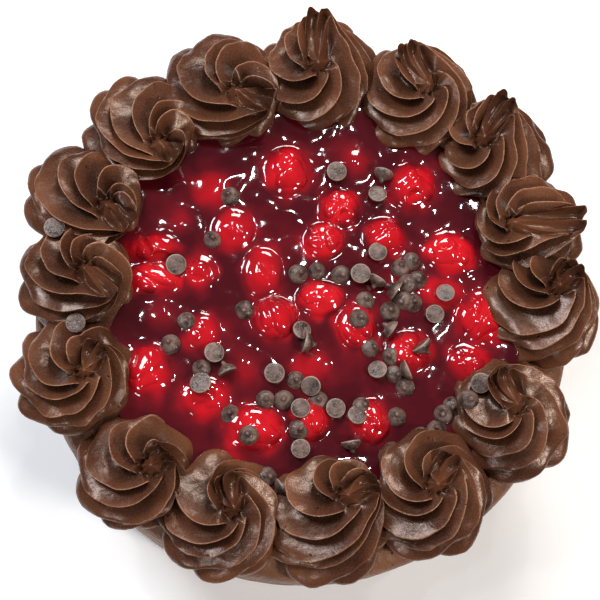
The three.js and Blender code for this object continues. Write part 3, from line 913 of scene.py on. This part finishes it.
def make_gel():
    rows = int(GEL_RADIUS / GEL_STEP)
    around_gel = 2 * rows
    share = (np.arange(rows) + 0.5)[::-1, None] / rows
    turn = np.linspace(0, 2 * np.pi, around_gel, endpoint=False)[None, :]
    x = (GEL_RADIUS + GEL_UNDER_SWIRLS) * share * np.cos(turn)
    y = (GEL_RADIUS + GEL_UNDER_SWIRLS) * share * np.sin(turn)
    height, red = gel_surface(x, y)
    top = np.stack([x, y, height], axis=-1)
    foot = top[:1].copy()
    foot[..., 2] = TOP
    points = np.concatenate([foot, top])
    red = np.concatenate([red[:1] * 0, red])
    return piece_from("gel", points, closed_faces(rows + 1, around_gel), GEL, red=red)


gel = make_gel()
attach(gel, "root")
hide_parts("cherry_gel")
print("gel faces:", len(gel.data.polygons))

# %% [markdown]
# A pitted cherry is a squashed ball with a soft dent where the stone came out. The rows
# run from the underside to the top, and the dent sits at the side that the photo shows.
# Each has the furrow of a cherry along one side, and a torn one has a deeper furrow
# across it.

# %% The cherries
CHERRY_ROWS = 34
CHERRY_AROUND = 52
PIT_HOLES = {2: (0.35, -0.7), 9: (0.2, -0.35), 20: (0.5, 0.1), 18: (-0.3, 0.35), 22: (0.1, -0.45)}
TORN = (6, 9, 10, 15, 17, 20, 21)
HOLE_RISE = 0.75
HOLE_DEPTH = 0.36
HOLE_WIDTH = 0.26
LIP_HEIGHT = 0.05


def furrow(across, place, width, depth):
    return (1 - depth * np.exp(-(((across - place) / width) ** 2)))[..., None]


def cherry_points(cherry, index):
    slope = np.linspace(-np.pi / 2, np.pi / 2, CHERRY_ROWS + 2)[1:-1, None]
    angle = np.linspace(0, 2 * np.pi, CHERRY_AROUND, endpoint=False)[None, :]
    uneven = 1 + 0.04 * np.sin(2 * angle + cherry["phase"]) + 0.05 * np.cos(3 * angle + slope)
    ball = np.stack([
        uneven * np.cos(slope) * np.cos(angle),
        uneven * np.cos(slope) * np.sin(angle),
        np.sin(slope) + 0 * angle,
    ], axis=-1)
    dents = 0.055 * ripple(ball, 1.2, 20 + index) + 0.011 * ripple(ball, 0.45, 60 + index)
    ball *= (1 + dents)[..., None]
    cosine, sine = math.cos(cherry["phase"]), math.sin(cherry["phase"])
    across = ball[..., 0] * cosine + ball[..., 1] * sine
    ball *= furrow(across, place=0.25, width=0.17, depth=0.12)
    if index in TORN:
        across = ball[..., 0] * sine - ball[..., 1] * cosine
        ball *= furrow(across, place=-0.1, width=0.14, depth=0.2)
    if index in PIT_HOLES:
        hole = np.array((*PIT_HOLES[index], HOLE_RISE))
        hole /= np.linalg.norm(hole)
        near = np.linalg.norm(ball / np.linalg.norm(ball, axis=-1, keepdims=True) - hole, axis=-1)
        lip = LIP_HEIGHT * np.exp(-(((near - 0.42) / 0.14) ** 2))
        ball *= (1 - HOLE_DEPTH * np.exp(-((near / HOLE_WIDTH) ** 2)) + lip)[..., None]
    points = cherry["place"] + ball * cherry["half"]
    return points, red_over(points[..., 0], points[..., 1])


faces = closed_faces(CHERRY_ROWS, CHERRY_AROUND)
for index, cherry in enumerate(placed_cherries):
    points, red = cherry_points(cherry, index)
    node_name = f"cherry_{index + 1:02d}"
    piece = piece_from("whole_" + node_name, points, faces, SKIN, red=red)
    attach(piece, "root")
    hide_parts(node_name)
print("cherries:", len(placed_cherries))

# %% [markdown]
# ## Chocolate chips
# One chip is turned on a lathe of numbers: a flat base, a full flank and a drawn-out tip.
# Geometry Nodes set a copy on each point of a small cloud, which carries how the chip
# leans and turns. The copies are made real, so that they live on as one plain mesh.

# %% One chip
CHIP_PROFILE = [
    (0.5, 0.0), (0.88, 0.0), (0.96, 0.02), (1.0, 0.08), (0.98, 0.17), (0.9, 0.3),
    (0.75, 0.42), (0.54, 0.51), (0.37, 0.58), (0.27, 0.66), (0.22, 0.76), (0.17, 0.88),
]
CHIP_AROUND = 22
EDGE_OF_BASE = 2
CURL_START = 0.7
TIP_CURL = 0.5


def make_chip_pattern():
    rings = []
    angle = np.linspace(0, 2 * np.pi, CHIP_AROUND, endpoint=False)
    for radius, rise in CHIP_PROFILE:
        x = radius * np.cos(angle) + TIP_CURL * max(0, rise - CURL_START)
        rings.append(np.stack([x, radius * np.sin(angle), np.full_like(x, rise)], axis=-1))
    points = np.array(rings) * (CHIP_RADIUS, CHIP_RADIUS, CHIP_HEIGHT)
    points[..., 2] -= CHIP_HEIGHT / 2
    # rim marks the edge of the base for its painted highlight
    rim = np.zeros(points.shape[:2])
    rim[EDGE_OF_BASE] = 1.0
    rim[EDGE_OF_BASE + 1] = 0.4
    return piece_from("chip_pattern", points, closed_faces(len(rings), CHIP_AROUND), CHIP, rim=rim)


pattern = make_chip_pattern()
print("faces of one chip:", len(pattern.data.polygons))

# %% [markdown]
# The tree reads how each chip lies from the cloud, draws a size between the smallest and
# the largest with a fixed seed, and gives the copies their finish. A tree like this one
# serves for all toppings that are strewn: only the pattern and the cloud change.

# %% A tree that sets chips on points
def chips_tree():
    tree = bpy.data.node_groups.new("chips_on_points", "GeometryNodeTree")
    socket_in(tree, "Geometry", "Geometry")
    socket_in(tree, "Chip", "Object")
    socket_in(tree, "Smallest")
    socket_in(tree, "Largest")
    socket_in(tree, "Seed", "Int")
    socket_in(tree, "Finish", "Material")
    geometry_out(tree)
    given = add_node(tree, "NodeGroupInput").outputs
    chip = add_node(tree, "GeometryNodeObjectInfo", {"Object": given["Chip"]})
    named = "GeometryNodeInputNamedAttribute"
    lie = add_node(tree, named, {"Name": "lie"}, data_type="FLOAT_VECTOR")
    lie = add_node(tree, "FunctionNodeEulerToRotation", {0: lie.outputs[0]})
    size = add_node(tree, "FunctionNodeRandomValue", data_type="FLOAT")
    for key, name in ((2, "Smallest"), (3, "Largest"), (8, "Seed")):
        tree.links.new(given[name], size.inputs[key])
    set_down = add_node(tree, "GeometryNodeInstanceOnPoints", {
        "Points": given["Geometry"], "Instance": chip.outputs["Geometry"],
        "Rotation": lie.outputs[0], "Scale": size.outputs[1],
    })
    dress(tree, set_down.outputs[0], given["Finish"])
    return tree


shared_tree = chips_tree()
print("nodes in the chips' tree:", len(shared_tree.nodes))

# %% [markdown]
# A chip rests on what is under it. On gel or a cherry its height comes from the same two
# functions that shape them, and on a swirl it is the one given with its place. Each way
# to lie has its lean, how much that lean may vary, and how far the middle of the chip
# then is above the ground.

# %% Where each chip lies
CHIP_POSES = [
    ("chips_point_up", CHIPS_POINT_UP, 0, 0.9, 1.9 * mm),
    ("chips_base_up", CHIPS_BASE_UP, math.pi, 0.85, 0.6 * mm),
    ("chips_on_side", CHIPS_ON_SIDE, math.pi / 2, 0.4, 2.6 * mm),
]


def chip_ground(seen):
    if seen in GROUND_ON_SWIRLS:
        return TOP + GROUND_ON_SWIRLS[seen]
    place = place_seen(seen, GEL_TOP + SEEN_OVER_GEL)
    ground = float(calm_gel(place.x, place.y))
    for cherry in placed_cherries:
        if cherry_share(cherry, place.x, place.y) < 1:
            ground = max(ground, float(skin_height(cherry, place.x, place.y)))
    return ground


def chip_cloud(name, seats):
    mesh = bpy.data.meshes.new(name + "_cloud")
    mesh.from_pydata([seat[0] for seat in seats], [], [])
    lie = mesh.attributes.new("lie", "FLOAT_VECTOR", "POINT")
    lie.data.foreach_set("vector", [value for seat in seats for value in seat[1]])
    return mesh


CHIP_SEED = 77
draw = random_from(CHIP_SEED)
for name, seen_list, lean, lean_spread, rise in CHIP_POSES:
    seats = []
    for seen in seen_list:
        z = chip_ground(seen) + rise
        angles = (lean + lean_spread * (next(draw) - 0.5), 0, 2 * math.pi * next(draw))
        seats.append((tuple(place_seen(seen, z)), angles))
    if name == "chips_base_up":
        for seen, height in CHIPS_ON_SWIRLS:
            seats.append((tuple(place_seen(seen, TOP + height)), (math.pi, 0, 0)))
    values = {"Chip": pattern, "Smallest": 0.94, "Largest": 1.08, "Seed": 4, "Finish": CHIP}
    chips = piece_from_tree(name, shared_tree, values, chip_cloud(name, seats))
    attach(chips, "root")
    print(name, len(seats))
bpy.data.objects.remove(pattern)

# %% [markdown]
# ## Floor, light and camera
# The floor is a plain pale sheet that runs on past the edge of the picture and ends where
# the lamps still reach it, so that no dark band shows behind the cake. Its tone varies by
# a hair, so that it doesn't look like a flat fill.

# %% Floor
FLOOR_HALF = 1.15
FLOOR_TONES = [(0.3, paint(248, 248, 249)), (0.7, paint(253, 253, 254))]


def make_floor():
    material, tree, shader = new_finish("floor")
    tree.links.new(ramp(tree, noise(tree, 3, 2), *FLOOR_TONES), shader.inputs["Base Color"])
    shader.inputs["Roughness"].default_value = 0.9
    corners = np.array([(-1, -1, 0), (1, -1, 0), (1, 1, 0), (-1, 1, 0)]) * FLOOR_HALF
    floor = piece_from("floor", corners, [(0, 1, 2, 3)], material)


make_floor()
print("floor laid")

# %% [markdown]
# The photo is lit softly from all round, and small bright lamps draw crisp glints on wet
# gel. Four soft lamps light the cake, cool from the left and warm from the right. Four
# short tubes hang high above it: the rippled gel breaks their mirror images into white
# squiggles, and they are too weak to change the shading. Each lamp has its place, its two
# sides, its power and its colour. The room itself gives little light, so that the gel
# stays deep, but where it is seen past the floor it is pale.

# %% Lamps and the surrounding light
LAMPS = [
    ("north_west", (-0.55, 0.45, 0.95), (0.3, 0.3), 8.5, (0.88, 0.94, 1.0)),
    ("north", (0.12, 0.72, 0.72), (0.26, 0.26), 5.5, (1.0, 0.96, 0.91)),
    ("south_east", (0.65, -0.45, 0.95), (0.16, 0.16), 7.2, (1.0, 0.93, 0.85)),
    ("south_west", (-0.6, -0.7, 0.9), (0.2, 0.2), 3.0, (0.92, 0.96, 1.0)),
    ("tube_1", (0.42, 0.2, 1.15), (0.02, 0.09), 1.0, (1.0, 1.0, 1.0)),
    ("tube_2", (0.015, 0.41, 1.15), (0.014, 0.06), 0.7, (1.0, 1.0, 1.0)),
    ("tube_3", (-0.34, 0.3, 1.15), (0.02, 0.09), 1.0, (1.0, 1.0, 1.0)),
    ("tube_4", (0.21, 0.35, 1.15), (0.014, 0.06), 0.7, (1.0, 1.0, 1.0)),
]
ROOM_LIGHT = 0.08
WALL_BRIGHTNESS = 0.93
for name, place, size, power, colour in LAMPS:
    lamp = bpy.data.lights.new(name, "AREA")
    lamp.shape = "RECTANGLE"
    lamp.size, lamp.size_y = size
    lamp.energy = power
    lamp.color = colour
    holder = bpy.data.objects.new(name, lamp)
    holder.location = place
    holder.rotation_euler = (look_at - Vector(place)).to_track_quat("-Z", "Y").to_euler()
    bpy.context.scene.collection.objects.link(holder)

world = bpy.data.worlds.new("studio")
world.use_nodes = True
background = world.node_tree.nodes["Background"]
background.inputs["Color"].default_value = (0.95, 0.97, 1.0, 1)
seen_itself = add_node(world.node_tree, "ShaderNodeLightPath").outputs["Is Camera Ray"]
strength = between(world.node_tree, seen_itself, 0, 1, ROOM_LIGHT, WALL_BRIGHTNESS)
world.node_tree.links.new(strength, background.inputs["Strength"])
bpy.context.scene.world = world
bpy.context.scene.view_settings.view_transform = "Standard"
print("lamps:", len(LAMPS))

# %% [markdown]
# The camera stands at the eye of the photo. Its lens follows from the distance and the
# width of one photo step on the cake, so that the render lies on the photo edge to edge.

# %% Camera
SENSOR_WIDTH = 36.0
PHOTO_WIDTH = 600
camera_data = bpy.data.cameras.new("camera")
camera_data.sensor_width = SENSOR_WIDTH
camera_data.lens = SENSOR_WIDTH * (VIEW_DISTANCE / PHOTO_STEP) / PHOTO_WIDTH
camera_data.clip_start = 0.01
camera = bpy.data.objects.new("camera", camera_data)
axes = Matrix((to_right, to_top, away)).transposed().to_4x4()
camera.matrix_world = Matrix.Translation(eye_point) @ axes
bpy.context.scene.collection.objects.link(camera)
bpy.context.scene.camera = camera
print("lens:", round(camera_data.lens, 1), "mm")
